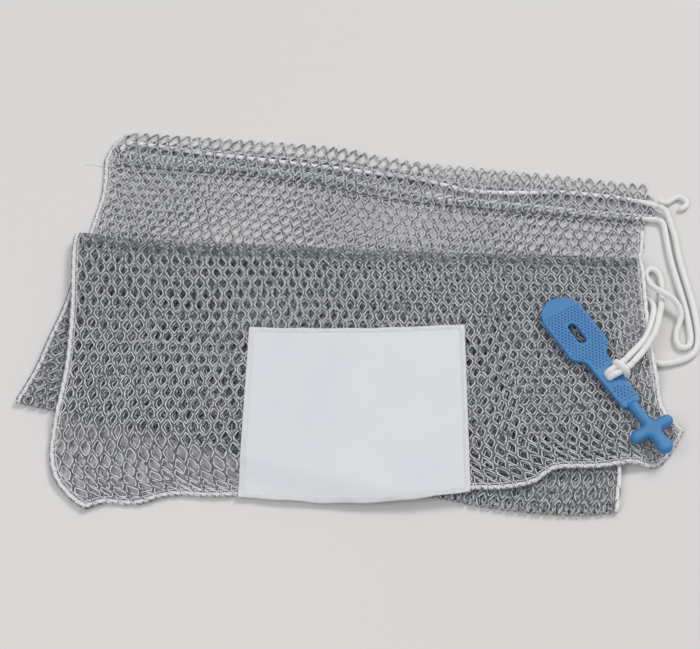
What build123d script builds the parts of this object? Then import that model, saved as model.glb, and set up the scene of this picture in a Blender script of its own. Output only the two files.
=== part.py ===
from build123d import *
from math import cos, radians, sin, tan
import os

# Mesh laundry bag, 508 x 762 mm (20 x 30 in), lying flat and folded in three like a letter Z.
# +Z is up, the mouth is on the +Y side and the origin is on the table under the middle of the
# bag. Millimetres.

# Net and seams
NET = 1.6  # thickness of one net panel
GAP = 0.3  # air between two sheets that lie on each other
SEAM = 5.0  # width of the overlocked seams
LAYER = 2 * NET + GAP  # one folded layer: the front and the back panel
PITCH = LAYER + GAP  # from one folded layer to the next

# Rows of the bag as (left end, right end) on the table plan, from the mouth to the bottom.
MOUTH = (Vector(-220, 199), Vector(285, 129))
HEM_DEPTH = 50.0
MOUTH_DIR = (MOUTH[1] - MOUTH[0]).normalized()
HEM_DIR = Vector(MOUTH_DIR.Y, -MOUTH_DIR.X)
HEM_FOOT = (MOUTH[0] + HEM_DIR * HEM_DEPTH, MOUTH[1] + HEM_DIR * HEM_DEPTH)
NEAR_FOLD = (Vector(-284.3, -95.4), Vector(213.7, -195.4))
FAR_FOLD = (Vector(-251, 74.5), Vector(259, 46.5))
LOWER_LAYER = [
    HEM_FOOT,
    (Vector(-240, 85), Vector(262, 50)),
    (Vector(-253, 4), Vector(239, 22)),
    (Vector(-266, -40), Vector(233, -60)),
    NEAR_FOLD,
]
MIDDLE_LAYER = [
    NEAR_FOLD,
    (Vector(-266, -40), Vector(233, -60)),
    (Vector(-253, 4), Vector(239, 22)),
    FAR_FOLD,
]
TOP_LAYER = [
    FAR_FOLD,
    (Vector(-248, 0), Vector(258, 10)),
    (Vector(-248, -100), Vector(258.5, -60)),
    (Vector(-249, -140), Vector(262, -100)),
    (Vector(-236, -172), Vector(274, -121)),
]
BOTTOM_EDGE = [
    Vector(-214, -190),
    Vector(-170, -185),
    Vector(-92, -181),
    Vector(94, -179),
    Vector(150, -171),
    Vector(168, -160),
    Vector(248, -154),
]

# Drawstring and the two tunnels it runs in, one in the hem of each panel
CORD_R = 2.8
TUNNEL_WALL = 0.7
BORE_R = CORD_R + 0.1
TUNNEL_R = BORE_R + TUNNEL_WALL
FRONT_RUN_DEPTH = 20.0  # from the mouth's edge to the front run of the drawstring
BACK_RUN_DEPTH = 34.0
FRONT_RUN_Z = NET + GAP + TUNNEL_R
BACK_RUN_Z = TUNNEL_R
TURN_ROOM = 16.0  # the hem starts this far from the left edge, where the drawstring turns back
HEM_LENGTH = (MOUTH[1] - MOUTH[0]).length
EXIT_RUN = 5.2  # the drawstring runs on this far, straight out of the tunnels

# Identification patch and stitching
PATCH = [(-90, -26), (94.5, -24.5), (93, -180.5), (-91.5, -182.5)]
PATCH_T = 0.8
STITCH_INSET = 4.0
STITCH_W = 1.2
STITCH_T = 0.25

# Rubber closure: a paddle with a slot, a strap with a cord hole, and a round cross-shaped head
CLOSURE_AT = (192.7, -35.6)
CLOSURE_ANGLE = -60.0
HEAD_T = 8.5
BLADE_T = 4.0
PADDLE_W = 39.0
STRAP_W = 20.3
PADDLE_END = -39.5  # stations along the closure, from the middle of the slot
SHOULDER = 28.0
SHOULDER_RUN = 8.0
SHOULDER_R = 9.0
WAIST_R = 6.0
STRAP_END_R = 4.0
CORD_HOLE = 48.0
HEAD_LINE = 73.6
STRAP_END = 80.0
CROSSBAR = 106.0
TIP = 123.5
STRAP_TAPER = 1.0
EDGE_R = 1.2
GRIP_LINE = -24.0
LINE_W = 0.8
LINE_DEPTH = 0.5
NECK_START = 77.0
NECK_W = 9.0
CROSSBAR_LENGTH = 41.0
CROSSBAR_W = 10.5
TIP_W = 13.5
TIP_NECK_W = 11.0
CROTCH_R = 3.0
HEAD_ROUND = 3.6
SLOT_LENGTH = 21.0
SLOT_W = 7.6
CORD_HOLE_R = 4.5
CLOSURE_Z = 3 * LAYER + 2 * GAP + GAP + HEAD_T / 2  # the head rests on the top layer

# Knot: a flat pad on the strap and a loop through the cord hole and round the strap's edge
LEG = 5.0
KNOT_W = 12.0
KNOT_T = 6.0
KNOT_REACH = 18.4  # from the middle of the cord hole to the loop's outer side
KNOT_ROUND = 2.5


def inner(row, end):
    """The end of a row without its side seam: end 0 is the left one, end 1 the right one."""
    across = (row[1 - end] - row[end]).normalized()
    return row[end] + across * SEAM


def fold_plane(start, end, z):
    """A plane across a fold at its start, with x pointing out of the fold and y up."""
    along = (end - start).normalized()
    return Plane(origin=(start.X, start.Y, z), x_dir=(-along.Y, along.X, 0), z_dir=along)


def slab(outline, z, thickness):
    """A flat sheet with this outline, added to the part being built."""
    with BuildSketch(Plane.XY.offset(z)) as sheet:
        with BuildLine():
            Polyline(*[(p.X, p.Y) for p in outline], close=True)
        make_face()
    extrude(sheet.sketch, amount=thickness)


def bend(plane, inner_r, outer_r, length):
    """The half ring that joins two sheets round a fold, added to the part being built."""
    with BuildSketch(plane) as ring:
        Circle(outer_r)
        Circle(inner_r, mode=Mode.SUBTRACT)
        Rectangle(outer_r, 2 * outer_r, align=(Align.MAX, Align.CENTER), mode=Mode.SUBTRACT)
    extrude(ring.sketch, amount=length)


def corner_radii(points):
    """The radius at each corner of a cord: 0.45 of its shorter run over the tangent of half the turn."""
    radii = []
    for before, here, after in zip(points, points[1:], points[2:]):
        run_in = Vector(*here) - Vector(*before)
        run_out = Vector(*after) - Vector(*here)
        half_turn = radians(run_in.get_angle(run_out) / 2)
        radii.append(0.45 * min(run_in.length, run_out.length) / tan(half_turn))
    return radii


def cord(points, label):
    """A round cord along straight runs joined by tangent arcs."""
    radii = corner_radii(points)
    with BuildPart() as tube:
        with BuildLine() as route:
            FilletPolyline(*points, radius=radii)
        with BuildSketch(Plane(origin=route.line @ 0, z_dir=route.line % 0)):
            Circle(CORD_R)
        sweep(path=route.line)
    tube.part.label = label
    export_step(tube.part, f"parts/{label}.step")
    length = route.wire().length
    share = tube.part.volume / (Circle(CORD_R, mode=Mode.PRIVATE).area * length)
    print(label, "length", round(length, 1), "volume share", round(share, 4))
    print("  radii", [round(r, 1) for r in radii])


def hem_point(along, depth, z):
    """A point of the hem: along from its left end, depth below the mouth's edge."""
    spot = MOUTH[0] + MOUTH_DIR * along + HEM_DIR * depth
    return (spot.X, spot.Y, z)


os.makedirs("parts", exist_ok=True)

LAYER_Z = [0.0, PITCH, 2 * PITCH]
NEAR_FOLD_Z = PITCH - GAP / 2
FAR_FOLD_Z = 2 * PITCH - GAP / 2
NEAR_FOLD_PLANE = fold_plane(NEAR_FOLD[1], NEAR_FOLD[0], NEAR_FOLD_Z)
FAR_FOLD_PLANE = fold_plane(FAR_FOLD[0], FAR_FOLD[1], FAR_FOLD_Z)
NEAR_FOLD_LENGTH = (NEAR_FOLD[1] - NEAR_FOLD[0]).length
FAR_FOLD_LENGTH = (FAR_FOLD[1] - FAR_FOLD[0]).length
TIGHT = (GAP / 2, GAP / 2 + NET)
WIDE = (GAP / 2 + NET + GAP, GAP / 2 + LAYER)
FULL = (GAP / 2, GAP / 2 + LAYER)
HEM_PLANE = Plane(origin=(MOUTH[1].X, MOUTH[1].Y, 0), x_dir=HEM_DIR, z_dir=MOUTH_DIR * -1)
UPPER = NET + GAP


def net_outline(rows, bottom=()):
    """Outline of a net sheet between the side seams, and above the bottom seam if there is one."""
    left = [inner(row, 0) for row in rows]
    right = [inner(row, 1) for row in rows]
    raised = [p + Vector(0, SEAM) for p in bottom]
    return left + raised + right[::-1]


def panel(front):
    """One net panel: three flat layers, two folds and the hem with its tunnel."""
    low, high = (0.0, UPPER) if not front else (UPPER, 0.0)
    slab(net_outline(LOWER_LAYER), LAYER_Z[0] + low, NET)
    slab(net_outline(MIDDLE_LAYER), LAYER_Z[1] + high, NET)
    slab(net_outline(TOP_LAYER, BOTTOM_EDGE), LAYER_Z[2] + low, NET)
    near, far = (TIGHT, WIDE) if front else (WIDE, TIGHT)
    bend(NEAR_FOLD_PLANE.offset(SEAM), *near, NEAR_FOLD_LENGTH - 2 * SEAM)
    bend(FAR_FOLD_PLANE.offset(SEAM), *far, FAR_FOLD_LENGTH - 2 * SEAM)


with BuildPart() as front_panel_net:
    panel(front=True)
    # The hem climbs over the tunnel of the back panel.
    over = TUNNEL_R + GAP
    with BuildSketch(HEM_PLANE):
        with Locations((0, UPPER)):
            Rectangle(HEM_DEPTH, NET, align=(Align.MIN, Align.MIN))
        with Locations((BACK_RUN_DEPTH, BACK_RUN_Z)):
            Circle(over + NET)
            Circle(over, mode=Mode.SUBTRACT)
            Rectangle(2 * over, BACK_RUN_Z, align=(Align.CENTER, Align.MAX), mode=Mode.SUBTRACT)
        with Locations((BACK_RUN_DEPTH, UPPER)):
            Rectangle(4 * over, 2 * over, align=(Align.CENTER, Align.MAX), mode=Mode.SUBTRACT)
        with Locations((FRONT_RUN_DEPTH, FRONT_RUN_Z)):
            Circle(TUNNEL_R)
            Circle(BORE_R, mode=Mode.SUBTRACT)
    extrude(amount=HEM_LENGTH - TURN_ROOM)
front_panel_net.part.label = "front_panel_net"
export_step(front_panel_net.part, "parts/front_panel_net.step")

with BuildPart() as back_panel_net:
    panel(front=False)
    with BuildSketch(HEM_PLANE):
        Rectangle(HEM_DEPTH, NET, align=(Align.MIN, Align.MIN))
        with Locations((BACK_RUN_DEPTH, BACK_RUN_Z)):
            Circle(TUNNEL_R)
            Circle(BORE_R, mode=Mode.SUBTRACT)
    extrude(amount=HEM_LENGTH - TURN_ROOM)
back_panel_net.part.label = "back_panel_net"
export_step(back_panel_net.part, "parts/back_panel_net.step")


def side_seam(end, label, lower_rows):
    """The overlocked seam along one side of all three layers."""
    near_start = NEAR_FOLD_LENGTH - SEAM if end == 0 else 0
    far_start = 0 if end == 0 else FAR_FOLD_LENGTH - SEAM
    with BuildPart() as seam:
        for rows, z in zip((lower_rows, MIDDLE_LAYER, TOP_LAYER), LAYER_Z):
            edge = [row[end] for row in rows]
            slab(edge + [inner(row, end) for row in rows][::-1], z, LAYER)
        bend(NEAR_FOLD_PLANE.offset(near_start), *FULL, SEAM)
        bend(FAR_FOLD_PLANE.offset(far_start), *FULL, SEAM)
    seam.part.label = label
    export_step(seam.part, f"parts/{label}.step")


# The right seam stops below the hem, where the drawstring comes out.
side_seam(0, "left_side_seam", [MOUTH] + LOWER_LAYER)
side_seam(1, "right_side_seam", LOWER_LAYER)

with BuildPart() as bottom_seam:
    corners = TOP_LAYER[-1]
    raised = [p + Vector(0, SEAM) for p in BOTTOM_EDGE]
    edge = [corners[0]] + BOTTOM_EDGE + [corners[1], inner(corners, 1)]
    slab(edge + raised[::-1] + [inner(corners, 0)], LAYER_Z[2], LAYER)
bottom_seam.part.label = "bottom_seam"
export_step(bottom_seam.part, "parts/bottom_seam.step")

# The rows of stitches that close the two hems
for label, z in (("front_hem_stitching", LAYER), ("back_hem_stitching", NET)):
    with BuildPart() as stitches:
        with BuildSketch(HEM_PLANE):
            with Locations((HEM_DEPTH - STITCH_INSET, z)):
                Rectangle(STITCH_W, STITCH_T, align=(Align.CENTER, Align.MIN))
        extrude(amount=HEM_LENGTH - TURN_ROOM)
    stitches.part.label = label
    export_step(stitches.part, f"parts/{label}.step")

PATCH_Z = LAYER_Z[2] + LAYER
with BuildPart() as id_patch:
    slab([Vector(*p) for p in PATCH], PATCH_Z, PATCH_T)
id_patch.part.label = "id_patch"
export_step(id_patch.part, "parts/id_patch.step")

with BuildPart() as patch_stitching:
    with BuildSketch(Plane.XY.offset(PATCH_Z + PATCH_T)) as frame:
        with BuildLine():
            Polyline(*PATCH, close=True)
        make_face()
        offset(amount=-STITCH_INSET, kind=Kind.INTERSECTION, mode=Mode.REPLACE)
        offset(amount=-STITCH_W, kind=Kind.INTERSECTION, mode=Mode.SUBTRACT)
    extrude(amount=STITCH_T)
patch_stitching.part.label = "patch_stitching"
export_step(patch_stitching.part, "parts/patch_stitching.step")

# The drawstring inside the hem: out along the front panel, round and back along the back one
with BuildPart() as casing_drawstring:
    with BuildLine() as route:
        front_turn = Vector(hem_point(TURN_ROOM, FRONT_RUN_DEPTH, FRONT_RUN_Z))
        back_turn = Vector(hem_point(TURN_ROOM, BACK_RUN_DEPTH, BACK_RUN_Z))
        turn_r = (back_turn - front_turn).length / 2
        turn_mid = (front_turn + back_turn) * 0.5 - MOUTH_DIR * turn_r
        Line(hem_point(HEM_LENGTH, FRONT_RUN_DEPTH, FRONT_RUN_Z), front_turn)
        ThreePointArc(front_turn, turn_mid, back_turn)
        Line(back_turn, hem_point(HEM_LENGTH, BACK_RUN_DEPTH, BACK_RUN_Z))
    with BuildSketch(Plane(origin=route.line @ 0, z_dir=route.line % 0)):
        Circle(CORD_R)
    sweep(path=route.line)
casing_drawstring.part.label = "casing_drawstring"
export_step(casing_drawstring.part, "parts/casing_drawstring.step")

# The two free strands, from the open end of the hem to the knot, and the drawstring's cut end.
# The outer strand goes round under the overhanging top layer and comes out beside its edge.
outer_strand = [
    hem_point(HEM_LENGTH, FRONT_RUN_DEPTH, FRONT_RUN_Z),
    hem_point(HEM_LENGTH + EXIT_RUN, FRONT_RUN_DEPTH, FRONT_RUN_Z),
    (292.4, 105.8, 4.8),
    (295.8, 100.4, 3.8),
    (296.0, 91.5, 3.0),
    (293.9, 78.5, 3.0),
    (293.2, 59.0, 3.0),
    (296.0, 37.0, 3.0),
    (299.2, 16.0, 3.0),
    (301.0, -4.0, 3.0),
    (301.2, -20.0, 3.0),
    (300.4, -33.0, 3.0),
    (297.0, -44.5, 3.0),
    (289.8, -51.8, 3.0),
    (280.7, -55.2, 3.0),
    (272.0, -57.4, 3.0),
    (263.6, -58.0, 3.0),
    (256.2, -55.2, 3.0),
    (250.2, -48.2, 3.0),
    (247.4, -36.5, 3.0),
    (246.6, -23.0, 3.0),
    (245.8, -10.5, 3.0),
    (246.6, 0.5, 3.0),
    (250.4, 9.0, 3.0),
    (259.4, 10.6, 3.0),
    (264.8, 3.6, 4.2),
    (264.0, -6.4, 8.6),
    (260.4, -17.7, 13.2),
    (256.6, -28.3, 16.4),
    (252.4, -37.3, 16.4),
    (246.8, -45.0, 16.0),
    (240.2, -52.6, 18.0),
    (234.8, -58.8, 20.2),
    (230.2, -64.2, 20.9),
]
inner_strand = [
    hem_point(HEM_LENGTH, BACK_RUN_DEPTH, BACK_RUN_Z),
    hem_point(HEM_LENGTH + EXIT_RUN, BACK_RUN_DEPTH, BACK_RUN_Z),
    (289.0, 90.9, 3.4),
    (289.0, 84.4, 3.0),
    (285.8, 74.0, 3.0),
    (286.0, 56.0, 3.0),
    (288.6, 36.6, 3.0),
    (291.4, 16.0, 3.0),
    (293.6, -4.0, 3.0),
    (294.2, -21.0, 3.0),
    (293.8, -35.0, 3.0),
    (290.2, -41.6, 3.0),
    (283.6, -41.8, 3.0),
    (280.4, -35.8, 3.0),
    (281.6, -26.4, 3.0),
    (285.4, -18.0, 3.8),
    (288.0, -10.4, 5.6),
    (286.8, -3.0, 8.4),
    (281.7, 3.8, 11.2),
    (274.9, 8.5, 12.4),
    (268.1, 13.3, 11.6),
    (263.6, 21.5, 8.2),
    (261.4, 33.0, 5.0),
    (264.4, 39.6, 3.8),
    (271.2, 41.0, 3.0),
    (275.2, 35.3, 3.0),
    (275.6, 25.6, 3.0),
    (274.6, 15.4, 3.2),
    (272.8, 6.2, 4.4),
    (271.0, -2.4, 7.6),
    (268.2, -10.5, 12.0),
    (265.0, -19.5, 16.4),
    (261.4, -30.2, 20.2),
    (257.4, -39.2, 20.6),
    (252.4, -46.9, 18.8),
    (245.8, -55.7, 18.2),
    (240.2, -62.3, 20.2),
    (235.4, -68.1, 20.9),
]
cut_end = [
    (283.9, 117.1, 3.2),
    (287.8, 115.9, 3.0),
    (293.0, 115.4, 3.0),
    (297.4, 119.2, 3.0),
    (302.9, 122.7, 3.0),
    (309.1, 120.4, 3.0),
    (311.1, 114.1, 3.0),
    (307.1, 108.9, 3.0),
    (302.2, 108.1, 3.0),
]
cord(outer_strand, "free_strand_outer")
cord(inner_strand, "free_strand_inner")
cord(cut_end, "drawstring_cut_end")

# The closure's plane lies at half its thickness, with x along it from the slot to the head.
CLOSURE_PLANE = Plane(
    origin=(*CLOSURE_AT, CLOSURE_Z),
    x_dir=(cos(radians(CLOSURE_ANGLE)), sin(radians(CLOSURE_ANGLE)), 0),
    z_dir=(0, 0, 1),
)

# Head of the closure: a round neck, a crossbar and a tip, as one thick cross
with BuildPart() as head:
    with BuildSketch(CLOSURE_PLANE) as cross:
        with Locations((NECK_START, 0)):
            Rectangle(CROSSBAR - NECK_START, NECK_W, align=(Align.MIN, Align.CENTER))
        with Locations((CROSSBAR, 0)):
            SlotOverall(CROSSBAR_LENGTH, CROSSBAR_W, rotation=90)
            Rectangle(TIP - CROSSBAR, TIP_NECK_W, align=(Align.MIN, Align.CENTER))
        with Locations((TIP, 0)):
            Circle(TIP_W / 2)
        crotches = [v for v in cross.vertices() if NECK_START < v.X < TIP and abs(v.Y) < TIP_W / 2]
        fillet(crotches, radius=CROTCH_R)
    extrude(amount=HEAD_T / 2, both=True)
    rims = head.edges().group_by(Axis.Z)
    fillet(rims[0] + rims[-1], radius=HEAD_ROUND)

with BuildPart() as rubber_closure:
    # Blade: a round-ended paddle that narrows over two rounded shoulders to the strap
    with BuildSketch(CLOSURE_PLANE) as blade:
        with BuildLine():
            half = PADDLE_W / 2
            waist = STRAP_W / 2
            round_start = PADDLE_END + half
            shoulder_start = SHOULDER - SHOULDER_RUN
            ThreePointArc((round_start, half), (PADDLE_END, 0), (round_start, -half))
            Polyline(
                (round_start, -half),
                (shoulder_start, -half),
                (SHOULDER, -waist),
                (STRAP_END, STRAP_TAPER - waist),
                (STRAP_END, waist - STRAP_TAPER),
                (SHOULDER, waist),
                (shoulder_start, half),
                (round_start, half),
            )
        make_face()
        for corner_pair, radius in ((3, STRAP_END_R), (2, WAIST_R), (1, SHOULDER_R)):
            fillet(blade.vertices().group_by(Axis.X)[corner_pair], radius=radius)
        SlotOverall(SLOT_LENGTH, SLOT_W, mode=Mode.SUBTRACT)
        with Locations((CORD_HOLE, 0)):
            Circle(CORD_HOLE_R, mode=Mode.SUBTRACT)
    extrude(amount=BLADE_T / 2, both=True)
    rims = rubber_closure.edges().group_by(Axis.Z)
    fillet(rims[0] + rims[-1], radius=EDGE_R)
    # Two engraved lines across the top, one each side of the dotted grip
    with BuildSketch(CLOSURE_PLANE.offset(BLADE_T / 2)):
        for station in (GRIP_LINE, HEAD_LINE):
            with Locations((station, 0)):
                Rectangle(LINE_W, PADDLE_W)
    extrude(amount=-LINE_DEPTH, mode=Mode.SUBTRACT)
    add(head.part)
rubber_closure.part.label = "rubber_closure"
export_step(rubber_closure.part, "parts/rubber_closure.step")

# The knot: a loop through the cord hole and round the strap's edge, under a flat pad
KNOT_PLANE = Plane(
    origin=CLOSURE_PLANE.from_local_coords((CORD_HOLE, 0, 0)),
    x_dir=CLOSURE_PLANE.x_dir,
    z_dir=CLOSURE_PLANE.z_dir,
)
UNDER_LOW = -HEAD_T / 2
UNDER_HIGH = -BLADE_T / 2 - GAP
PAD_LOW = BLADE_T / 2 + GAP
with BuildPart() as closure_knot:
    with BuildSketch(KNOT_PLANE.offset(UNDER_LOW)):
        with Locations((0, -LEG / 2)):
            Rectangle(LEG, KNOT_REACH + LEG / 2, align=(Align.CENTER, Align.MIN))
    extrude(amount=UNDER_HIGH - UNDER_LOW)
    with BuildSketch(KNOT_PLANE.offset(UNDER_LOW)):
        with Locations((0, 0), (0, KNOT_REACH - LEG / 2)):
            Rectangle(LEG, LEG)
    extrude(amount=PAD_LOW + KNOT_T / 2 - UNDER_LOW)
    with BuildSketch(KNOT_PLANE.offset(PAD_LOW)):
        with Locations((0, (KNOT_REACH - LEG / 2) / 2)):
            SlotOverall(KNOT_REACH + LEG / 2, KNOT_W, rotation=90)
    extrude(amount=KNOT_T)
    fillet(closure_knot.edges().group_by(Axis.Z)[-1], radius=KNOT_ROUND)
closure_knot.part.label = "closure_knot"
export_step(closure_knot.part, "parts/closure_knot.step")
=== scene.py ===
import math

import bpy
import numpy as np
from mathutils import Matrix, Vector


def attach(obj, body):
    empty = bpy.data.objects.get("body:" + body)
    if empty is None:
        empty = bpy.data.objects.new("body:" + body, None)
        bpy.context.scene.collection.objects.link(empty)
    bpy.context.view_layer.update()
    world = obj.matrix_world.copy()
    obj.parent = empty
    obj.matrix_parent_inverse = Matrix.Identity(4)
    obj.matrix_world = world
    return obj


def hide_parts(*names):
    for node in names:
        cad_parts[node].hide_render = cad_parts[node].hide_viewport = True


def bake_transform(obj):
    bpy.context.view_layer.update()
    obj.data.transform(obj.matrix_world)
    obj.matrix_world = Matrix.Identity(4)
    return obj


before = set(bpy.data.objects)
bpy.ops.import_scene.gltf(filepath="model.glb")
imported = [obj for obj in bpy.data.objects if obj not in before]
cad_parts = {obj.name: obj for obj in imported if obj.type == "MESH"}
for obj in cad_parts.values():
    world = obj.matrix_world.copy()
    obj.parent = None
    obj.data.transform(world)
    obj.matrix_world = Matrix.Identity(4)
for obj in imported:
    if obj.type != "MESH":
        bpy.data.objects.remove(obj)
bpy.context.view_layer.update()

MM = 0.001  # everything below is in millimetres until it becomes a mesh
chance = np.random.default_rng(20260)
CAMERA_AT = (-0.0025, -0.6238, 0.9727)
CAMERA_TO = (-0.0025, -0.016, 0.0)

# ---------------------------------------------------------------- camera, floor and light

scene = bpy.context.scene
camera = bpy.data.objects.new("camera", bpy.data.cameras.new("camera"))
scene.collection.objects.link(camera)
camera.data.lens = 67.17
camera.data.sensor_width = 36.0
camera.data.clip_start = 0.05
camera.location = CAMERA_AT
aim = Vector(CAMERA_TO) - camera.location
camera.rotation_mode = "QUATERNION"
camera.rotation_quaternion = aim.to_track_quat("-Z", "Y")
scene.camera = camera
scene.view_settings.view_transform = "Standard"


def area_light(name, place, target, size, power, colour):
    lamp = bpy.data.lights.new(name, "AREA")
    lamp.shape = "DISK"
    lamp.size = size
    lamp.energy = power
    lamp.color = colour
    made = bpy.data.objects.new(name, lamp)
    scene.collection.objects.link(made)
    made.location = place
    made.rotation_mode = "QUATERNION"
    made.rotation_quaternion = (Vector(target) - Vector(place)).to_track_quat("-Z", "Y")


area_light("key", (2.2, 2.4, 3.6), (0, 0, 0), 2.0, 112.0, (1.0, 0.985, 0.965))
area_light("fill", (-1.2, -1.0, 1.9), (0, 0, 0), 1.8, 20.0, (0.98, 0.99, 1.0))
world = bpy.data.worlds.new("world")
world.use_nodes = True
world.node_tree.nodes["Background"].inputs["Color"].default_value = (0.98, 0.985, 1.0, 1)
world.node_tree.nodes["Background"].inputs["Strength"].default_value = 0.40
scene.world = world

# ---------------------------------------------------------------- materials


def shader(name, colour, roughness, sheen=0.0, specular=0.5):
    """A material with one Principled shader: (material, its nodes, its links, the shader)."""
    material = bpy.data.materials.new(name)
    material.use_nodes = True
    nodes, links = material.node_tree.nodes, material.node_tree.links
    main = nodes["Principled BSDF"]
    main.inputs["Base Color"].default_value = (*colour, 1)
    main.inputs["Roughness"].default_value = roughness
    main.inputs["Sheen Weight"].default_value = sheen
    main.inputs["Sheen Roughness"].default_value = 0.4
    main.inputs["Specular IOR Level"].default_value = specular
    return material, nodes, links, main


def coordinates(nodes, links, scale, source="Object"):
    where = nodes.new("ShaderNodeTexCoord")
    mapping = nodes.new("ShaderNodeMapping")
    mapping.inputs["Scale"].default_value = scale
    links.new(where.outputs[source], mapping.inputs["Vector"])
    return mapping.outputs["Vector"]


def noise(nodes, links, vector, scale, detail=3.0, roughness=0.55):
    made = nodes.new("ShaderNodeTexNoise")
    made.inputs["Scale"].default_value = scale
    made.inputs["Detail"].default_value = detail
    made.inputs["Roughness"].default_value = roughness
    links.new(vector, made.inputs["Vector"])
    return made.outputs["Fac"]


def ramp(nodes, links, factor, stops):
    made = nodes.new("ShaderNodeValToRGB")
    bar = made.color_ramp.elements
    while len(bar) < len(stops):
        bar.new(0.5)
    for element, (at, colour) in zip(bar, stops):
        element.position = at
        element.color = (*colour, 1)
    links.new(factor, made.inputs["Fac"])
    return made.outputs["Color"]


def bump(nodes, links, main, height, strength, distance):
    made = nodes.new("ShaderNodeBump")
    made.inputs["Strength"].default_value = strength
    made.inputs["Distance"].default_value = distance
    links.new(height, made.inputs["Height"])
    links.new(made.outputs["Normal"], main.inputs["Normal"])


# The net is knitted from heathered yarn: each short length of it takes one of four tones, pale to blue-grey,
# at random. How often each tone comes also depends on the sheet: painted light on the sheets open to view,
# painted shade on the hidden sheets and along the folds.
yarn_pale = shader("net_yarn_pale", (0.80, 0.81, 0.83), 0.42, 0.3, 0.7)[0]
yarn_light = shader("net_yarn_light", (0.58, 0.59, 0.615), 0.45, 0.3, 0.6)[0]
yarn_mid = shader("net_yarn_mid", (0.24, 0.255, 0.285), 0.55, 0.25, 0.5)[0]
yarn_dark = shader("net_yarn_dark", (0.135, 0.145, 0.175), 0.6, 0.2, 0.5)[0]
NET_TONES = (yarn_pale, yarn_light, yarn_mid, yarn_dark)

thread_white = shader("overlock_thread", (0.88, 0.88, 0.885), 0.5, 0.3)[0]
# the overlock thread with painted shade, for the cores of the left and bottom seams
thread_painted_shade = shader("overlock_thread_shade", (0.66, 0.665, 0.68), 0.6, 0.3)[0]
# near-black hem stitch thread: painted shade for the dark slots along the hem's stitch line
stitch_painted_shade = shader("hem_stitch_painted_shade", (0.09, 0.095, 0.11), 0.6, 0.2)[0]


def cord_material():
    material, nodes, links, main = shader("cord_fibre", (0.83, 0.83, 0.82), 0.62, 0.4)
    along = coordinates(nodes, links, (1.0, 1.0, 1.0), "UV")
    fibres = noise(nodes, links, along, 26.0, 4.0, 0.6)
    colour = ramp(nodes, links, fibres, [(0.25, (0.70, 0.70, 0.69)), (0.6, (0.87, 0.87, 0.86))])
    links.new(colour, main.inputs["Base Color"])
    bump(nodes, links, main, fibres, 0.35, 0.0004)
    return material


def patch_material():
    material, nodes, links, main = shader("patch_cloth", (0.77, 0.79, 0.82), 0.55, 0.15)
    vector = coordinates(nodes, links, (1.0, 1.0, 1.0))
    weave = []
    for direction in ("X", "Y"):
        wave = nodes.new("ShaderNodeTexWave")
        wave.wave_type = "BANDS"
        wave.bands_direction = direction
        wave.inputs["Scale"].default_value = 640.0
        wave.inputs["Distortion"].default_value = 0.6
        links.new(vector, wave.inputs["Vector"])
        weave.append(wave.outputs["Fac"])
    both = nodes.new("ShaderNodeMath")
    both.operation = "MULTIPLY"
    links.new(weave[0], both.inputs[0])
    links.new(weave[1], both.inputs[1])
    cloud = noise(nodes, links, vector, 22.0, 3.0, 0.5)
    colour = ramp(nodes, links, cloud, [(0.3, (0.69, 0.715, 0.755)), (0.7, (0.735, 0.75, 0.775))])
    links.new(colour, main.inputs["Base Color"])
    bump(nodes, links, main, both.outputs[0], 0.25, 0.0003)
    return material


def rubber_material():
    material, nodes, links, main = shader("closure_rubber", (0.036, 0.185, 0.42), 0.46, 0.0, 0.38)
    vector = coordinates(nodes, links, (1.0, 1.0, 1.0))
    cloud = noise(nodes, links, vector, 60.0, 3.0, 0.5)
    colour = ramp(nodes, links, cloud, [(0.3, (0.034, 0.188, 0.43)), (0.72, (0.049, 0.222, 0.49))])
    links.new(colour, main.inputs["Base Color"])
    grain = noise(nodes, links, vector, 1500.0, 2.0, 0.6)
    bump(nodes, links, main, grain, 0.12, 0.0002)
    return material


cord_white = cord_material()
patch_cloth = patch_material()
rubber = rubber_material()
rubber_dot = shader("closure_dots", (0.010, 0.062, 0.25), 0.55, 0.0, 0.3)[0]

# ---------------------------------------------------------------- mesh helpers


def link(name, mesh, body="bag"):
    """An object in the scene, which rides on a body unless body is None."""
    made = bpy.data.objects.new(name, mesh)
    scene.collection.objects.link(made)
    if body:
        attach(made, body)
    return made


def mesh_from(name, points, quads, tris, tones, materials):
    """A smooth mesh from millimetre points, with a material for each face."""
    mesh = bpy.data.meshes.new(name)
    points = np.array(points, float)
    points[:, 2] = np.maximum(points[:, 2], 0.0)
    mesh.vertices.add(len(points))
    mesh.vertices.foreach_set("co", (points * MM).ravel())
    corners = np.concatenate([quads.ravel(), tris.ravel()]).astype(np.int32)
    mesh.loops.add(len(corners))
    mesh.loops.foreach_set("vertex_index", corners)
    starts = [np.arange(len(quads)) * 4, len(quads) * 4 + np.arange(len(tris)) * 3]
    starts = np.concatenate(starts).astype(np.int32)
    mesh.polygons.add(len(starts))
    mesh.polygons.foreach_set("loop_start", starts)
    mesh.polygons.foreach_set("use_smooth", np.ones(len(starts), bool))
    for material in materials:
        mesh.materials.append(material)
    mesh.polygons.foreach_set("material_index", np.asarray(tones, np.int32))
    mesh.update(calc_edges=True)
    return mesh


def stand_for(piece, node):
    """The piece is seen instead of a CAD node, which is hidden."""
    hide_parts(node)


def unit(vectors):
    return vectors / np.maximum(np.linalg.norm(vectors, axis=-1, keepdims=True), 1e-9)


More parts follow.
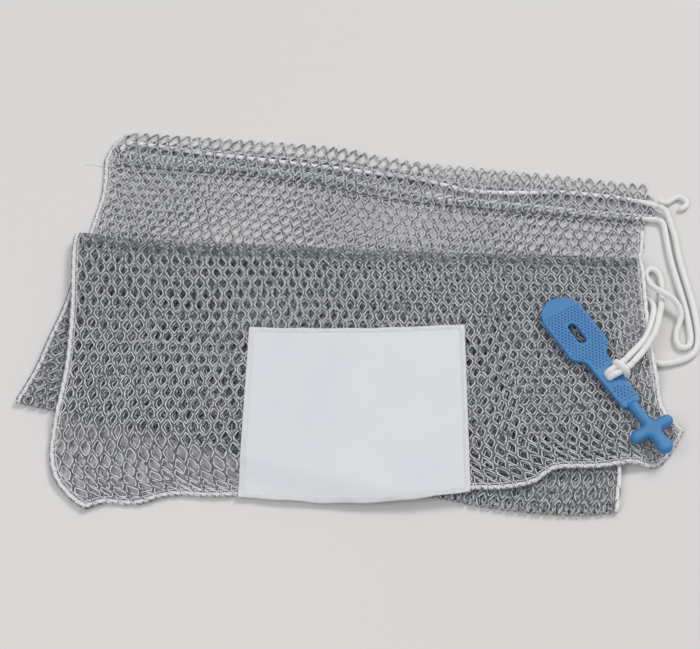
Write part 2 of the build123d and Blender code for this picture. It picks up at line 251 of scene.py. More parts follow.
def tubes(centres, normals, radius, sides, closed, flat=1.0):
    """Tubes round many lines at once.

    centres and normals are (lines, points, 3), and radius is (lines, points).
    """
    lines, count = centres.shape[:2]
    if closed:
        tangent = np.roll(centres, -1, 1) - np.roll(centres, 1, 1)
    else:
        tangent = np.gradient(centres, axis=1)
    tangent = unit(tangent)
    side = unit(np.cross(normals, tangent))
    up = np.cross(tangent, side)
    angle = (np.arange(sides) + 0.5) * 2 * math.pi / sides
    across = np.cos(angle)[None, None, :, None] * side[:, :, None, :]
    above = flat * np.sin(angle)[None, None, :, None] * up[:, :, None, :]
    ring = centres[:, :, None, :] + radius[:, :, None, None] * (across + above)
    points = ring.reshape(-1, 3)
    base = np.arange(lines)[:, None, None] * count * sides
    last = count if closed else count - 1
    i = np.arange(last)[None, :, None]
    k = np.arange(sides)[None, None, :]
    nxt, turn = (i + 1) % count, (k + 1) % sides
    here, there = base + i * sides, base + nxt * sides
    quads = np.stack([here + k, here + turn, there + turn, there + k], -1).reshape(-1, 4)
    tris = np.zeros((0, 3), int)
    if not closed:
        first = len(points) + np.arange(lines)
        points = np.concatenate([points, centres[:, 0], centres[:, -1]])
        k = np.arange(sides)[None, :]
        turn = (k + 1) % sides
        start = np.arange(lines)[:, None] * count * sides
        end = start + (count - 1) * sides
        first_tip = np.broadcast_to(first[:, None], (lines, sides))
        near = np.stack([start + turn, start + k, first_tip], -1)
        far = np.stack([end + k, end + turn, first_tip + lines], -1)
        tris = np.concatenate([near.reshape(-1, 3), far.reshape(-1, 3)])
    return points, quads, tris


def joined(parts):
    """Several (points, quads, tris, tone of each quad, tone of each tri) as one."""
    points, quads, tris, quad_tones, tri_tones, total = [], [], [], [], [], 0
    for p, q, t, a, b in parts:
        points.append(p)
        quads.append(q + total)
        tris.append(t + total)
        quad_tones.append(a)
        tri_tones.append(b)
        total += len(p)
    tones = np.concatenate(quad_tones + tri_tones)
    return np.concatenate(points), np.concatenate(quads), np.concatenate(tris), tones


def one_tone(made, tone):
    points, quads, tris = made
    return points, quads, tris, np.full(len(quads), tone), np.full(len(tris), tone)


def rise(x):
    """From 0 to 1 smoothly as x goes from 0 to 1."""
    x = np.clip(x, 0, 1)
    return x * x * (3 - 2 * x)


def smooth_line(points, count=240):
    """A Catmull-Rom line through given points, evenly spaced along its length."""
    p = np.asarray(points, float)
    p = np.concatenate([[2 * p[0] - p[1]], p, [2 * p[-1] - p[-2]]])
    parts = []
    for a, b, c, d in zip(p, p[1:], p[2:], p[3:]):
        t = np.linspace(0, 1, 24, endpoint=False)[:, None]
        square, cube = 2 * a - 5 * b + 4 * c - d, 3 * b - a - 3 * c + d
        parts.append(0.5 * (2 * b + (c - a) * t + square * t**2 + cube * t**3))
    dense = np.concatenate(parts + [p[-2][None]])
    return evenly(dense, count)


def evenly(points, count):
    """The line through the points as so many points, evenly spaced."""
    step = np.concatenate([[0], np.cumsum(np.linalg.norm(np.diff(points, axis=0), axis=1))])
    at = np.linspace(0, step[-1], count)
    return np.stack([np.interp(at, step, points[:, i]) for i in range(points.shape[1])], 1)


def evenly_with(points, normals, count):
    """The line as so many evenly spaced points, with its normals there."""
    both = np.concatenate([points, normals * 1e-6], 1)
    step = np.concatenate([[0], np.cumsum(np.linalg.norm(np.diff(points, axis=0), axis=1))])
    at = np.linspace(0, step[-1], count)
    found = np.stack([np.interp(at, step, both[:, i]) for i in range(6)], 1)
    return found[:, :3], unit(found[:, 3:])


def length_of(points):
    return float(np.linalg.norm(np.diff(points, axis=0), axis=1).sum())


def carried_normals(points):
    """A normal at each point of a line that turns as little as it can."""
    tangent = unit(np.gradient(points, axis=0))
    normal = np.cross(tangent[0], [0.0, 0.0, 1.0])
    if np.linalg.norm(normal) < 0.1:
        normal = np.cross(tangent[0], [1.0, 0.0, 0.0])
    found = []
    for t in tangent:
        normal = normal - t * float(normal @ t)
        normal = normal / np.linalg.norm(normal)
        found.append(normal)
    return np.array(found)


# ---------------------------------------------------------------- drawstring

CORD_R = 2.8
CORD_IN_CASING = (0.80, 0.60)  # width and height left to the cord inside the hem
CASING_END_X, CASING_EASE = 255, 25  # the cord swells to its own size over this run

OUTER_ROUTE = [
    (282.25, 109.19, 5.5), (287.4, 107.4, 5.5), (290.2, 102.0, 4.8), (291.6, 95.0, 3.8),
    (293.0, 87.0, 3.0), (294.6, 75.0, 3.0), (294.6, 58.0, 3.0), (296.4, 37.0, 3.0),
    (299.2, 16.0, 3.0), (301.0, -4.0, 3.0), (301.2, -20.0, 3.0), (300.4, -33.0, 3.0),
    (297.0, -44.5, 3.0), (289.8, -51.8, 3.0), (280.7, -55.2, 3.0), (272.0, -57.4, 3.0),
    (263.6, -58.0, 3.0), (256.2, -55.2, 3.0), (250.2, -48.2, 3.0), (247.4, -36.5, 3.0),
    (246.6, -23.0, 3.0), (245.8, -10.5, 3.0), (246.6, 0.5, 3.0), (250.4, 9.0, 3.0),
    (259.4, 10.6, 3.0), (264.8, 3.6, 4.2), (264.0, -6.4, 8.6), (260.4, -17.7, 13.2),
    (256.6, -28.3, 16.4), (252.4, -37.3, 16.4), (246.8, -45.0, 16.0), (240.2, -52.6, 18.0),
    (234.8, -58.8, 20.2), (230.2, -64.2, 20.9),
]
INNER_ROUTE = [
    (280.33, 95.32, 3.6), (284.4, 93.8, 3.6), (286.0, 89.4, 3.4), (286.2, 83.0, 3.0),
    (286.2, 73.0, 3.0), (286.6, 56.0, 3.0), (288.6, 36.6, 3.0), (291.4, 16.0, 3.0),
    (293.6, -4.0, 3.0), (294.2, -21.0, 3.0), (293.8, -35.0, 3.0), (290.2, -41.6, 3.0),
    (283.6, -41.8, 3.0), (280.4, -35.8, 3.0), (281.6, -26.4, 3.0), (285.4, -18.0, 3.8),
    (288.0, -10.4, 5.6), (286.8, -3.0, 8.4), (281.7, 3.8, 11.2), (274.9, 8.5, 12.4),
    (268.1, 13.3, 11.6), (263.6, 21.5, 8.2), (261.4, 33.0, 5.0), (264.4, 39.6, 3.8),
    (271.2, 41.0, 3.0), (275.2, 35.3, 3.0), (275.6, 25.6, 3.0), (274.6, 15.4, 3.2),
    (272.8, 6.2, 4.4), (271.0, -2.4, 7.6), (268.2, -10.5, 12.0), (265.0, -19.5, 16.4),
    (261.4, -30.2, 20.2), (257.4, -39.2, 20.6), (252.4, -46.9, 18.8), (245.8, -55.7, 18.2),
    (240.2, -62.3, 20.2), (235.4, -68.1, 20.9),
]
CUT_END_ROUTE = [
    (283.9, 117.1, 3.2), (287.8, 115.9, 3.0), (293.0, 115.4, 3.0), (297.4, 119.2, 3.0),
    (302.9, 122.7, 3.0), (309.1, 120.4, 3.0), (311.1, 114.1, 3.0), (307.1, 108.9, 3.0),
    (302.2, 108.1, 3.0),
]
CASING_ROUTE = [
    (282.25, 109.19, 5.5), (270.0, 114.6, 5.2), (245.0, 120.3, 4.8), (212.0, 124.7, 4.6),
    (190.0, 127.0, 4.8), (162.0, 125.3, 5.2), (124.0, 125.8, 5.2), (104.0, 128.4, 4.8),
    (86.0, 135.5, 4.4), (64.0, 142.6, 4.4), (23.0, 149.5, 4.4), (-59.0, 161.5, 4.4),
    (-120.0, 170.5, 4.4), (-165.0, 177.3, 4.4), (-198.0, 184.0, 4.3), (-211.0, 187.0, 4.0),
    (-219.5, 183.5, 3.6), (-220.5, 175.5, 3.2), (-213.0, 170.5, 3.0), (-200.0, 168.0, 2.9),
    (-150.0, 162.5, 2.9), (-59.0, 150.5, 2.9), (0.0, 140.0, 2.9), (80.0, 121.0, 2.9),
    (110.0, 115.0, 2.9), (150.0, 110.5, 2.9), (230.0, 101.5, 3.2), (280.33, 95.32, 3.6),
]


def spline_points(name, points):
    """The line of a NURBS spline with these control points, in millimetres."""
    curve = bpy.data.curves.new(name, "CURVE")
    curve.dimensions = "3D"
    curve.resolution_u = 10
    spline = curve.splines.new("NURBS")
    spline.points.add(len(points) - 1)
    for point, (x, y, z) in zip(spline.points, points):
        point.co = (x * MM, y * MM, z * MM, 1)
    spline.order_u = 3
    spline.use_endpoint_u = True
    guide = bpy.data.objects.new(name, curve)
    scene.collection.objects.link(guide)
    line = bpy.data.meshes.new_from_object(guide)
    found = np.array([v.co for v in line.vertices]) / MM
    bpy.data.objects.remove(guide)
    bpy.data.meshes.remove(line)
    return found


def braid(name, line, radius, step=0.75, sides=32, pitch=3.4, ends=True, press=None):
    """A braided cord round a line: a tube whose surface rises in the diamonds of its braid.

    Its ends are rounded if ends is true. press gives the width and height left to it at each point.
    """
    lobes, relief = 8, 0.055
    count = max(8, int(length_of(line) / step))
    centre = evenly(line, count)
    normal = carried_normals(centre)
    tangent = unit(np.gradient(centre, axis=0))
    other = np.cross(tangent, normal)
    run = np.linspace(0, length_of(line), count)
    angle = np.arange(sides) * 2 * math.pi / sides
    weave = 0.5 * (np.cos(lobes * angle)[None, :] + np.cos(2 * math.pi * run / pitch)[:, None])
    soft = 1 + 0.012 * np.sin(run / 9.0)[:, None]
    size = radius * (1 - relief + relief * weave) * soft
    if ends:
        close = np.minimum(run, run[-1] - run)[:, None]
        size = size * np.sqrt(np.clip(0.35 + close / (0.9 * radius), 0, 1))
    ring = (
        centre[:, None, :]
        + size[:, :, None] * np.cos(angle)[None, :, None] * normal[:, None, :]
        + size[:, :, None] * np.sin(angle)[None, :, None] * other[:, None, :]
    )
    if press is not None:
        narrow, flat = press(centre)
        squeeze = np.stack([narrow, narrow, flat], -1)[:, None, :]
        ring = centre[:, None, :] + (ring - centre[:, None, :]) * squeeze
    points = np.concatenate([ring.reshape(-1, 3), centre[:1], centre[-1:]])
    i, k = np.arange(count - 1)[:, None], np.arange(sides)[None, :]
    turn = (k + 1) % sides
    here, there = i * sides, (i + 1) * sides
    quads = np.stack([here + k, here + turn, there + turn, there + k], -1).reshape(-1, 4)
    k, turn, top = k.ravel(), turn.ravel(), (count - 1) * sides
    near = np.stack([turn, k, np.full(sides, count * sides)], -1)
    far = np.stack([top + k, top + turn, np.full(sides, count * sides + 1)], -1)
    tris = np.concatenate([near, far])
    mesh = mesh_from(name, points, quads, tris, np.zeros(len(quads) + len(tris)), [cord_white])
    rows = np.repeat(np.arange(count - 1), sides)
    cols = np.tile(np.arange(sides), count - 1)
    u = np.stack([cols, cols + 1, cols + 1, cols], 1) / sides
    v = np.stack([run[rows], run[rows], run[rows + 1], run[rows + 1]], 1) / (2 * math.pi * radius)
    quad_uv = np.stack([u, v], -1).reshape(-1, 2)
    uv = np.concatenate([quad_uv, np.zeros((len(tris) * 3, 2))])
    layer = mesh.uv_layers.new(name="run")
    layer.data.foreach_set("uv", uv.ravel())
    return mesh


def free_cord(name, points, bodies):
    """A loose run of the drawstring. Between two bodies it is attached to neither, with its place baked into
    its mesh; otherwise it rides on its one body.
    """
    line = spline_points(name + "_line", points)
    made = link(name, braid(name, line, CORD_R), None)
    if len(bodies) == 2:
        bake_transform(made)
    else:
        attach(made, bodies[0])
    return made


def pressed_in_casing(centre):
    """The cord is pressed by its casing, and swells to its own size where it comes out."""
    out = rise((centre[:, 0] - CASING_END_X) / CASING_EASE)
    narrow, flat = CORD_IN_CASING
    return narrow + (1 - narrow) * out, flat + (1 - flat) * out


casing_line = spline_points("casing_line", CASING_ROUTE)
casing_mesh = braid("drawstring_in_casing", casing_line, CORD_R, ends=False, press=pressed_in_casing)
stand_for(link("drawstring_in_casing", casing_mesh), "casing_drawstring")

# ---------------------------------------------------------------- the folded bag's plan

CELL = 10.0  # from one opening of the net to the next, across
ROW = 9.4  # from one row of openings to the next
WIDE = 500.0
LOW_ROWS, MID_ROWS, TOP_ROWS, HEM_ROWS = 34, 22, 24, 5
HEM_DEEP = 47.0
# heights of the six sheets of net over the floor
LOW_BACK, LOW_FRONT = 0.8, 2.7
MID_FRONT, MID_BACK = 4.6, 6.5
TOP_BACK, TOP_FRONT = 8.4, 10.3

MOUTH = [
    (-219, 201), (-156, 196), (-80, 189.5), (-17, 182), (22, 171.5), (64, 161.5), (105, 156),
    (145, 151.5), (191, 147), (240, 141.5), (281.5, 136.5),
]
LOW_LEFT = [
    (-219, 201), (-230, 184), (-235.5, 167), (-234.5, 147), (-235, 121), (-241, 85), (-253, 4),
    (-264, -33), (-272, -64), (-284.3, -95.4),
]
LOW_RIGHT = [
    (281.5, 136.5), (280, 120), (279, 101), (271, 97), (268.5, 90), (267, 79), (262, 55), (243, 22),
    (235, -20), (231, -60), (224, -130), (213.7, -195.4),
]
NEAR_FOLD = [
    (-284.3, -95.4), (-200, -116), (-80, -149), (20, -174), (73, -184), (99, -190), (124, -194),
    (152, -197), (185, -198.3), (213.7, -195.4),
]
FAR_FOLD = [
    (-251, 77.5), (-199, 71.5), (-137, 66.5), (-77, 64), (-2, 58.5), (107, 54.5), (192, 52), (260, 49),
]
MID_LEFT = [(-284.3, -95.4), (-272, -64), (-264, -33), (-254, 4), (-250, 40), (-251, 77.5)]
MID_RIGHT = [(213.7, -195.4), (224, -130), (231, -60), (235, -20), (243, 22), (260, 49)]
TOP_LEFT = [
    (-251, 77.5), (-253.5, 64), (-250.5, 28), (-247, -8), (-245.5, -59), (-248, -100), (-250.5, -125),
    (-250, -146), (-244, -166), (-231.5, -181.5), (-216, -193.5),
]
TOP_RIGHT = [(260, 49), (260.5, 30), (258.5, -8), (258, -44), (260, -88), (264, -106), (276, -122)]
BOTTOM = [
    (-216, -193.5), (-199, -187.5), (-184, -188.5), (-169, -188), (-155, -183), (-138, -180.5),
    (-110, -182), (-60, -179.5), (0, -179), (60, -178.5), (94, -178.5), (126, -178), (147, -173.5),
    (158, -165.5), (169, -160.5), (201, -159.5), (230, -154.5), (248, -156), (261, -145), (276, -122),
]


class Layer:
    """One folded layer on the plan: across from its left edge to its right one, down from its top edge."""

    def __init__(self, top, bottom, left, right, rows):
        self.top, self.bottom, self.left, self.right = (smooth_line(e) for e in (top, bottom, left, right))
        self.rows = rows
        self.long = rows * ROW

    def plan(self, s, t):
        """Where (s, t) lies on the floor plan, with a slight sway of the net's rows inside the edges."""
        def along(line, a):
            at = np.clip(a, 0, 1) * (len(line) - 1)
            return np.stack([np.interp(at, np.arange(len(line)), line[:, i]) for i in (0, 1)], -1)

        a, b, c, d = self.top[0], self.top[-1], self.bottom[0], self.bottom[-1]
        s1, t1 = s[..., None], t[..., None]
        edges = (1 - t1) * along(self.top, s) + t1 * along(self.bottom, s)
        edges = edges + (1 - s1) * along(self.left, t) + s1 * along(self.right, t)
        corners = (1 - s1) * (1 - t1) * a + s1 * (1 - t1) * b + (1 - s1) * t1 * c + s1 * t1 * d
        spot = edges - corners
        inside = 16 * s * (1 - s) * t * (1 - t)
        sway = np.stack(
            [
                np.sin(spot[..., 1] / 31 + 0.7) * np.cos(spot[..., 0] / 67 + 1.1),
                np.cos(spot[..., 0] / 43 + 0.4) * np.sin(spot[..., 1] / 39 + 2.0),
            ],
            -1,
        )
        return spot + 1.9 * inside[..., None] * sway


low = Layer(MOUTH, NEAR_FOLD, LOW_LEFT, LOW_RIGHT, LOW_ROWS)
mid = Layer(NEAR_FOLD, FAR_FOLD, MID_LEFT, MID_RIGHT, MID_ROWS)
top = Layer(FAR_FOLD, BOTTOM, TOP_LEFT, TOP_RIGHT, TOP_ROWS)

# the drawstring's run along the front of the hem, and its run back
turn_at = int(np.argmin(casing_line[:, 0]))
front_run = casing_line[:turn_at][::-1]
back_run = casing_line[turn_at:]


def over_cord(x, y, run, reach):
    """1 above a run of the drawstring, falling to 0 at reach millimetres from it."""
    off = np.abs(y - np.interp(x, run[:, 0], run[:, 1])) * 0.99
    off = off + np.clip(run[0, 0] - x, 0, None)
    return 0.5 + 0.5 * np.cos(math.pi * np.clip(off / reach, 0, 1))


def hem_height(x, y, depth, ply):
    """Height of a ply of the hem.

    0 and 1 are the back panel's outer and turned-in plies, 2 and 3 the front's turned-in and outer ones.
    """
    near = over_cord(x, y, front_run, 12.0)
    far = over_cord(x, y, back_run, 8.5)
    flat = (0.8, 1.4, 2.0, 2.7)[ply]
    to_near = (0.0, 0.0, 0.0, 4.0)[ply]
    to_far = (0.0, 3.7, 3.6, 3.4)[ply]
    lift = np.maximum(near * to_near, far * to_far)
    at_edge = 1 - rise(depth / 9.0)
    meet = (1.0, 1.4, 2.2, 2.6)[ply]
    return flat + lift + (meet - flat) * at_edge


def past_stack(x, y):
    """How far a point of the top layer lies outside the two layers under it."""
    past_fold = np.interp(x, mid.top[:, 0], mid.top[:, 1]) - y
    right = low.right[::-1]
    past_side = x - np.interp(y, right[:, 1], right[:, 0])
    held = rise((y + 96) / 26)
    return np.maximum(past_fold, past_side * (1 - held))


def crumple(x, y):
    """Gentle waves in the top layer, still under the patch and the closure."""
    wave = np.sin(x / 23 + 0.6 * np.sin(y / 37)) * np.cos(y / 29 + 0.5 * np.sin(x / 41))
    wave = 0.55 + 0.45 * wave + 0.25 * np.sin(x / 11 + y / 17)
    patch = np.maximum(np.maximum(-98 - x, x - 102), np.maximum(y + 18, -190 - y))
    closure = np.hypot((x - 207), (y + 60)) - 70
    free = rise(np.minimum(patch, closure) / 30)
    return 1.5 * np.clip(wave, 0, None) * free


def draped(x, y, z, height):
    """Height z of the top layer, let down to the floor where it lies past the layers under it."""
    past = past_stack(x, y)
    drop = rise(past / 30)
    ripple = 1.6 * np.sin(x / 8.5 + y / 13) * np.sin(y / 9.5) + 1.8
    return z * (1 - drop) + drop * (height - TOP_BACK + 1.0 + 0.8 * ripple * rise(past / 45))


def shift(w, radius, inset):
    """How far a fold's bend moves a point that is w millimetres of net away from its edge."""
    bent = inset + radius * (1 - np.cos(np.clip(w / radius, 0, math.pi / 2))) - w
    flat = (inset + radius - radius * math.pi / 2) * np.exp(-np.clip(w - radius * math.pi / 2, 0, None) / 30)
    return np.where(w < radius * math.pi / 2, bent, flat)


NEAR_MID, FAR_MID = 3.65, 7.45  # heights of the middles of the two folds
FOLD_OUT = 2.85  # from a fold's middle to its outermost sheet
MOUTH_OUT = (0.12, 0.99)  # away from the bag at its mouth


def place(layer, height, s, t, hem_ply=None):
    """Where the point (s, t) of a layer's sheet at that height lies, in millimetres."""
    long = layer.long
    beyond = np.clip(-t, 0, None) * long
    t = np.clip(t, 0, 1)
    up, down = t * long, (1 - t) * long
    moved = t
    bends = []
    if layer is not low:
        centre = NEAR_MID if layer is mid else FAR_MID
        radius = abs(height - centre)
        inset = FOLD_OUT - radius
        moved = moved + shift(up, radius, inset) / long
        bends.append((up, radius, centre, 1 if height > centre else -1))
    if layer is not top:
        centre = FAR_MID if layer is mid else NEAR_MID
        radius = abs(height - centre)
        inset = FOLD_OUT - radius
        moved = moved - shift(down, radius, inset) / long
        bends.append((down, radius, centre, 1 if height > centre else -1))
    spot = layer.plan(s, moved) + beyond[..., None] * np.array(MOUTH_OUT)
    x, y = spot[..., 0], spot[..., 1]
    z = np.full(x.shape, float(height))
    for w, radius, centre, sign in bends:
        bent = centre + sign * radius * np.sin(np.clip(w / radius, 0, math.pi / 2))
        z = np.where(w < radius * math.pi / 2, bent, z)
    if layer is top:
        z = draped(x, y, z + rise(up / 40) * crumple(x, y), height)
    if hem_ply is not None:
        z = z + (hem_height(x, y, up, hem_ply) - z) * (1 - rise((up - HEM_DEEP) / 9))
    return np.stack([x, y, z], -1)


def surface(layer, height, u, v, hem_ply=None):
    """(points, normals) of a sheet at fabric coordinates u across and v down, in millimetres."""

    def at(a, b):
        lowest = -0.02 if layer is low else 0.0
        s, t = np.clip(a / WIDE, 0.001, 0.999), np.clip(b / layer.long, lowest, 1)
        return place(layer, height, s, t, hem_ply)

    points = at(u, v)
    normals = unit(np.cross(at(u + 0.6, v) - at(u - 0.6, v), at(u, v - 0.6) - at(u, v + 0.6)))
    return points, normals


# ---------------------------------------------------------------- net

# the yarn round one opening, and one row of the wale that zigzags between openings
OPENING = np.array(
    [
        (0.35, 5.45), (1.65, 3.9), (2.95, 2.1), (3.72, 0.6),
        (3.72, -0.6), (2.95, -2.1), (1.65, -3.9), (0.35, -5.45),
        (-0.35, -5.45), (-1.65, -3.9), (-2.95, -2.1), (-3.72, -0.6),
        (-3.72, 0.6), (-2.95, 2.1), (-1.65, 3.9), (-0.35, 5.45),
    ]
)
WALE = np.array([(0.62, -2.0), (0.5, 0.0), (0.62, 2.0), (1.65, 3.4), (3.2, 5.0), (4.1, 6.1)])


def strained(layer, u, v, back):
    """Where the net's own slack moves the point (u, v): the two panels never lie exactly in register."""
    near = layer.long - v if layer is low else np.minimum(v, layer.long - v)
    free = rise(near / 26) * rise(np.minimum(u, WIDE - u) / 22)
    if back and layer is top:
        du = 0.5 + 0.9 * np.sin(v / 57 + 0.5) + 0.7 * np.sin(u / 71 + v / 90)
        dv = 0.9 + 1.2 * np.sin(u / 77 + 2.0) + 0.5 * np.sin(v / 33)
    elif back:
        du = 2.4 + 2.2 * np.sin(v / 37 + 0.5) + 1.3 * np.sin(u / 43 + v / 70)
        dv = 2.2 + 2.0 * np.sin(u / 47 + 2.0) + 1.2 * np.sin(v / 23)
        apart = np.maximum(rise((v - 5) / 24), rise((u - 270) / 60))
        du, dv = du * apart, dv * rise((v - 5) / 24)
    else:
        du = 1.1 * np.sin(v / 43 + 1.2) + 0.8 * np.sin(u / 53 - v / 61)
        dv = 1.3 * np.sin(u / 67 + 0.3) + 0.8 * np.sin(v / 29 + u / 83)
    v = v + dv * free
    if layer is low:
        v = v + 2.3 * np.exp(-(((v - 13) / 8) ** 2))
    if layer is top:
        v = v - 0.42 * v * np.exp(-v / 24)
    return u + du * free, v


def loosened(layer, u, v):
    """How far the openings are stretched, most in the left half of the top layer."""
    if layer is top:
        return 0.03 + 0.06 * np.exp(-(((u - 180) / 150) ** 2) - ((v - 110) / 80) ** 2)
    return 0.02 * np.sin(u / 47) * np.sin(v / 39)


def shares(layer, back):
    """How much of the yarn has each of the four tones: (round the openings, in the wales). The sheets open
    to view get paler shares, painted light, and the hidden ones darker shares, painted shade.
    """
    # the lower layer's front, open to view past the near fold: the palest rings and lighter wales, painted
    # light
    if layer is low and not back:
        return [0.76, 0.20, 0.04, 0.0], [0.0, 0.34, 0.60, 0.06]
    wales = [0.0, 0.0, 0.67, 0.33]
    if layer is top and not back:
        return [0.60, 0.28, 0.09, 0.03], wales
    if layer is mid and back:
        return [0.50, 0.33, 0.13, 0.04], wales
    # the hidden sheets: darker tones, painted shade
    return [0.26, 0.36, 0.26, 0.12], wales


FOLD_SHADE_SHARES = [0.08, 0.32, 0.42, 0.18]  # the same darker shares along the mouth and the far fold: painted shade in the folds


def net(name, layer, height, first_row, last_row, hem_ply=None, back=False):
    """A net of yarn: a pale rounded yarn round each opening, and the darker wales between the openings."""
    rows = np.arange(first_row, last_row)
    per = len(OPENING)
    shades, dark_wales = shares(layer, back)
    centres, parts = [], []
    for row in rows:
        odd = row % 2
        for i in range(50 if odd else 51):
            centres.append((i * CELL + (CELL / 2 if odd else 0.0), (row + 0.5) * ROW))
    centres = np.array(centres)
    if layer is low:
        open_corner = (centres[:, 1] < ROW) & (np.abs(centres[:, 0] - WIDE / 2) > 246)
        centres = centres[~open_corner]
    jitter = chance.normal(0, 0.20, (len(centres), per, 2))
    size = 1 + chance.normal(0, 0.025, len(centres)) + loosened(layer, centres[:, 0], centres[:, 1])
    mouth = (centres[:, 1] < ROW) & (layer is low)
    scallop = (mouth * (1 - rise((centres[:, 0] - 270) / 60)))[:, None, None]
    outline = OPENING[None] * size[:, None, None] * (1 + scallop * (0.24, 0.28)) + jitter
    outline = outline + centres[:, None, :] + scallop * (0.0, 1.5)
    u, v = strained(layer, outline[..., 0], outline[..., 1], back)
    points, normals = surface(layer, height, u, v, hem_ply)
    lift = 0.18 + 0.12 * np.sin(np.arange(per) * math.pi / 2)[None, :]
    lift = lift + chance.normal(0, 0.10, (len(centres), per))
    points = points + normals * lift[..., None]
    thick = 0.45 + chance.normal(0, 0.035, (len(centres), per)) + 0.05 * mouth[:, None]
    p, q, t = tubes(points, normals, thick, 4, True)
    tone = chance.choice(4, (len(centres), per), p=shades)
    # along the mouth and just below the far fold the yarn takes darker tones: painted shade in the folds
    fold_shade_tone = chance.choice(4, (len(centres), per), p=FOLD_SHADE_SHARES)
    in_fold_shade = mouth | ((centres[:, 1] < 15) & (layer is top))
    tone = np.where(in_fold_shade[:, None], fold_shade_tone, tone)
    parts.append((p, q, t, np.repeat(tone.ravel(), 4), np.zeros(0)))

    wale_rows = rows[rows > 0] if layer is low else rows
    for wale in range(101):
        home = (wale // 2) * CELL
        line = []
        for row in wale_rows:
            middle = (row + 0.5) * ROW
            odd = row % 2
            outwards = 1 if wale % 2 else -1
            joint = home + (0.0 if odd else CELL / 2) * outwards
            other = home + (CELL / 2 if odd else 0.0) * outwards
            turn = 1 if other > joint else -1
            for du, dv in WALE:
                line.append((joint + turn * du, middle + dv))
        line = np.array(line)[None]
        line = line + chance.normal(0, 0.12, line.shape)
        u, v = strained(layer, np.clip(line[..., 0], 0, WIDE), line[..., 1], back)
        points, normals = surface(layer, height, u, v, hem_ply)
        wave = 0.12 * np.cos(np.arange(line.shape[1]) * math.pi)[None, :, None]
        points = points - normals * (0.22 - wave)
        thick = np.tile([0.70, 0.62, 0.70, 0.62, 0.72, 0.62], len(wale_rows))[None]
        made = one_tone(tubes(points, normals, thick, 3, False, 0.8), 2)
        tone = chance.choice(4, line.shape[1] - 1, p=dark_wales)
        parts.append((*made[:3], np.repeat(tone, 3), made[4]))
    points, quads, tris, tones = joined(parts)
    mesh = mesh_from(name, points, quads, tris, tones, NET_TONES)
    return link(name, mesh)


for panel, heights, plies in (
    ("front", (LOW_FRONT, MID_FRONT, TOP_FRONT), (3, 2)),
    ("back", (LOW_BACK, MID_BACK, TOP_BACK), (0, 1)),
):
    back = panel == "back"
    outer, inner = plies
    pieces = [
        net(f"{panel}_net_hem", low, heights[0], 0, HEM_ROWS, outer, back=back),
        net(f"{panel}_net_hem_turned_in", low, heights[0], 1, HEM_ROWS, inner, back=not back),
        net(f"{panel}_net_lower_layer", low, heights[0], HEM_ROWS, LOW_ROWS, outer, back=back),
        net(f"{panel}_net_middle_layer", mid, heights[1], 0, MID_ROWS, back=back),
        net(f"{panel}_net_top_layer", top, heights[2], 0, TOP_ROWS, back=back),
    ]
    for piece, rows in zip(pieces, (HEM_ROWS, HEM_ROWS - 1, LOW_ROWS - HEM_ROWS, MID_ROWS, TOP_ROWS)):
        stand_for(piece, f"{panel}_panel_net")
        cut = (0.508, rows * ROW * MM)

# ---------------------------------------------------------------- seams


def seam_strip(layer, height, s0, t0, s1, t1, count):
    """Points and normals along a straight line of a layer, from (s0, t0) to (s1, t1)."""
    s, t = np.linspace(s0, s1, count), np.linspace(t0, t1, count)
    return surface(layer, height, s * WIDE, t * layer.long)


# the loose end of thread that sticks out of the left seam
THREAD_TAIL = [
    (-233.5, 160.5, 1.8), (-238, 160.8, 1.0), (-243, 162.4, 0.5), (-249, 163.2, 0.45), (-253, 162.6, 0.4),
]
SEAM_WIDE = 4.4
SEAM_STEP = 0.42  # between two points of the wrapping thread, and the thread's radius
SEAM_TURN = 1.75  # from one turn of the thread to the next


def overlock(name, strips, thick, inward, core_tone):
    """An overlocked seam along strips of (points, normals).

    A soft core is wrapped in thread, with a chain of loops along its inner side. core_tone 1 gives the core
    the thread with painted shade, 0 leaves it white.
    """
    points = np.concatenate([s[0] for s in strips])
    normals = np.concatenate([s[1] for s in strips])
    keep = np.concatenate([[True], np.linalg.norm(np.diff(points, axis=0), axis=1) > 0.05])
    points, normals = points[keep], normals[keep]
    count = int(length_of(points) / SEAM_STEP)
    centre, up = evenly_with(points, normals, count)
    core_size = np.full((1, len(centre[::4])), SEAM_WIDE * 0.42)
    core = tubes(centre[None, ::4], up[None, ::4], core_size, 8, False, thick / SEAM_WIDE)
    tangent = unit(np.gradient(centre, axis=0))
    side = unit(np.cross(up, tangent)) * inward
    up = unit(np.cross(tangent, np.cross(up, tangent)))
    turn = np.arange(count) * SEAM_STEP / SEAM_TURN * 2 * math.pi
    wobble = 1 + 0.05 * np.sin(np.arange(count) * 0.37) + chance.normal(0, 0.02, count)
    wrap = centre + side * (np.cos(turn) * SEAM_WIDE * 0.47 * wobble)[:, None]
    wrap = wrap + up * (np.sin(turn) * thick * 0.52 * wobble)[:, None]
    thread = tubes(wrap[None], up[None], np.full((1, count), SEAM_STEP), 4, False)
    loops = centre + side * (SEAM_WIDE * 0.55 + 1.1 * np.abs(np.sin(turn / 2)))[:, None]
    loops = loops + up * (thick * 0.30 + 0.25 * np.cos(turn))[:, None]
    chain = tubes(loops[None], up[None], np.full((1, count), 0.34), 3, False)
    parts = [one_tone(core, core_tone), one_tone(thread, 0), one_tone(chain, 0)]
    if name.startswith("left"):
        tail = smooth_line(THREAD_TAIL, 30)[None]
        upright = np.full(tail.shape, (0.0, 0.0, 1.0))
        parts.append(one_tone(tubes(tail, upright, np.full((1, 30), 0.35), 5, False), 0))
    return link(name, mesh_from(name, *joined(parts), [thread_white, thread_painted_shade]))


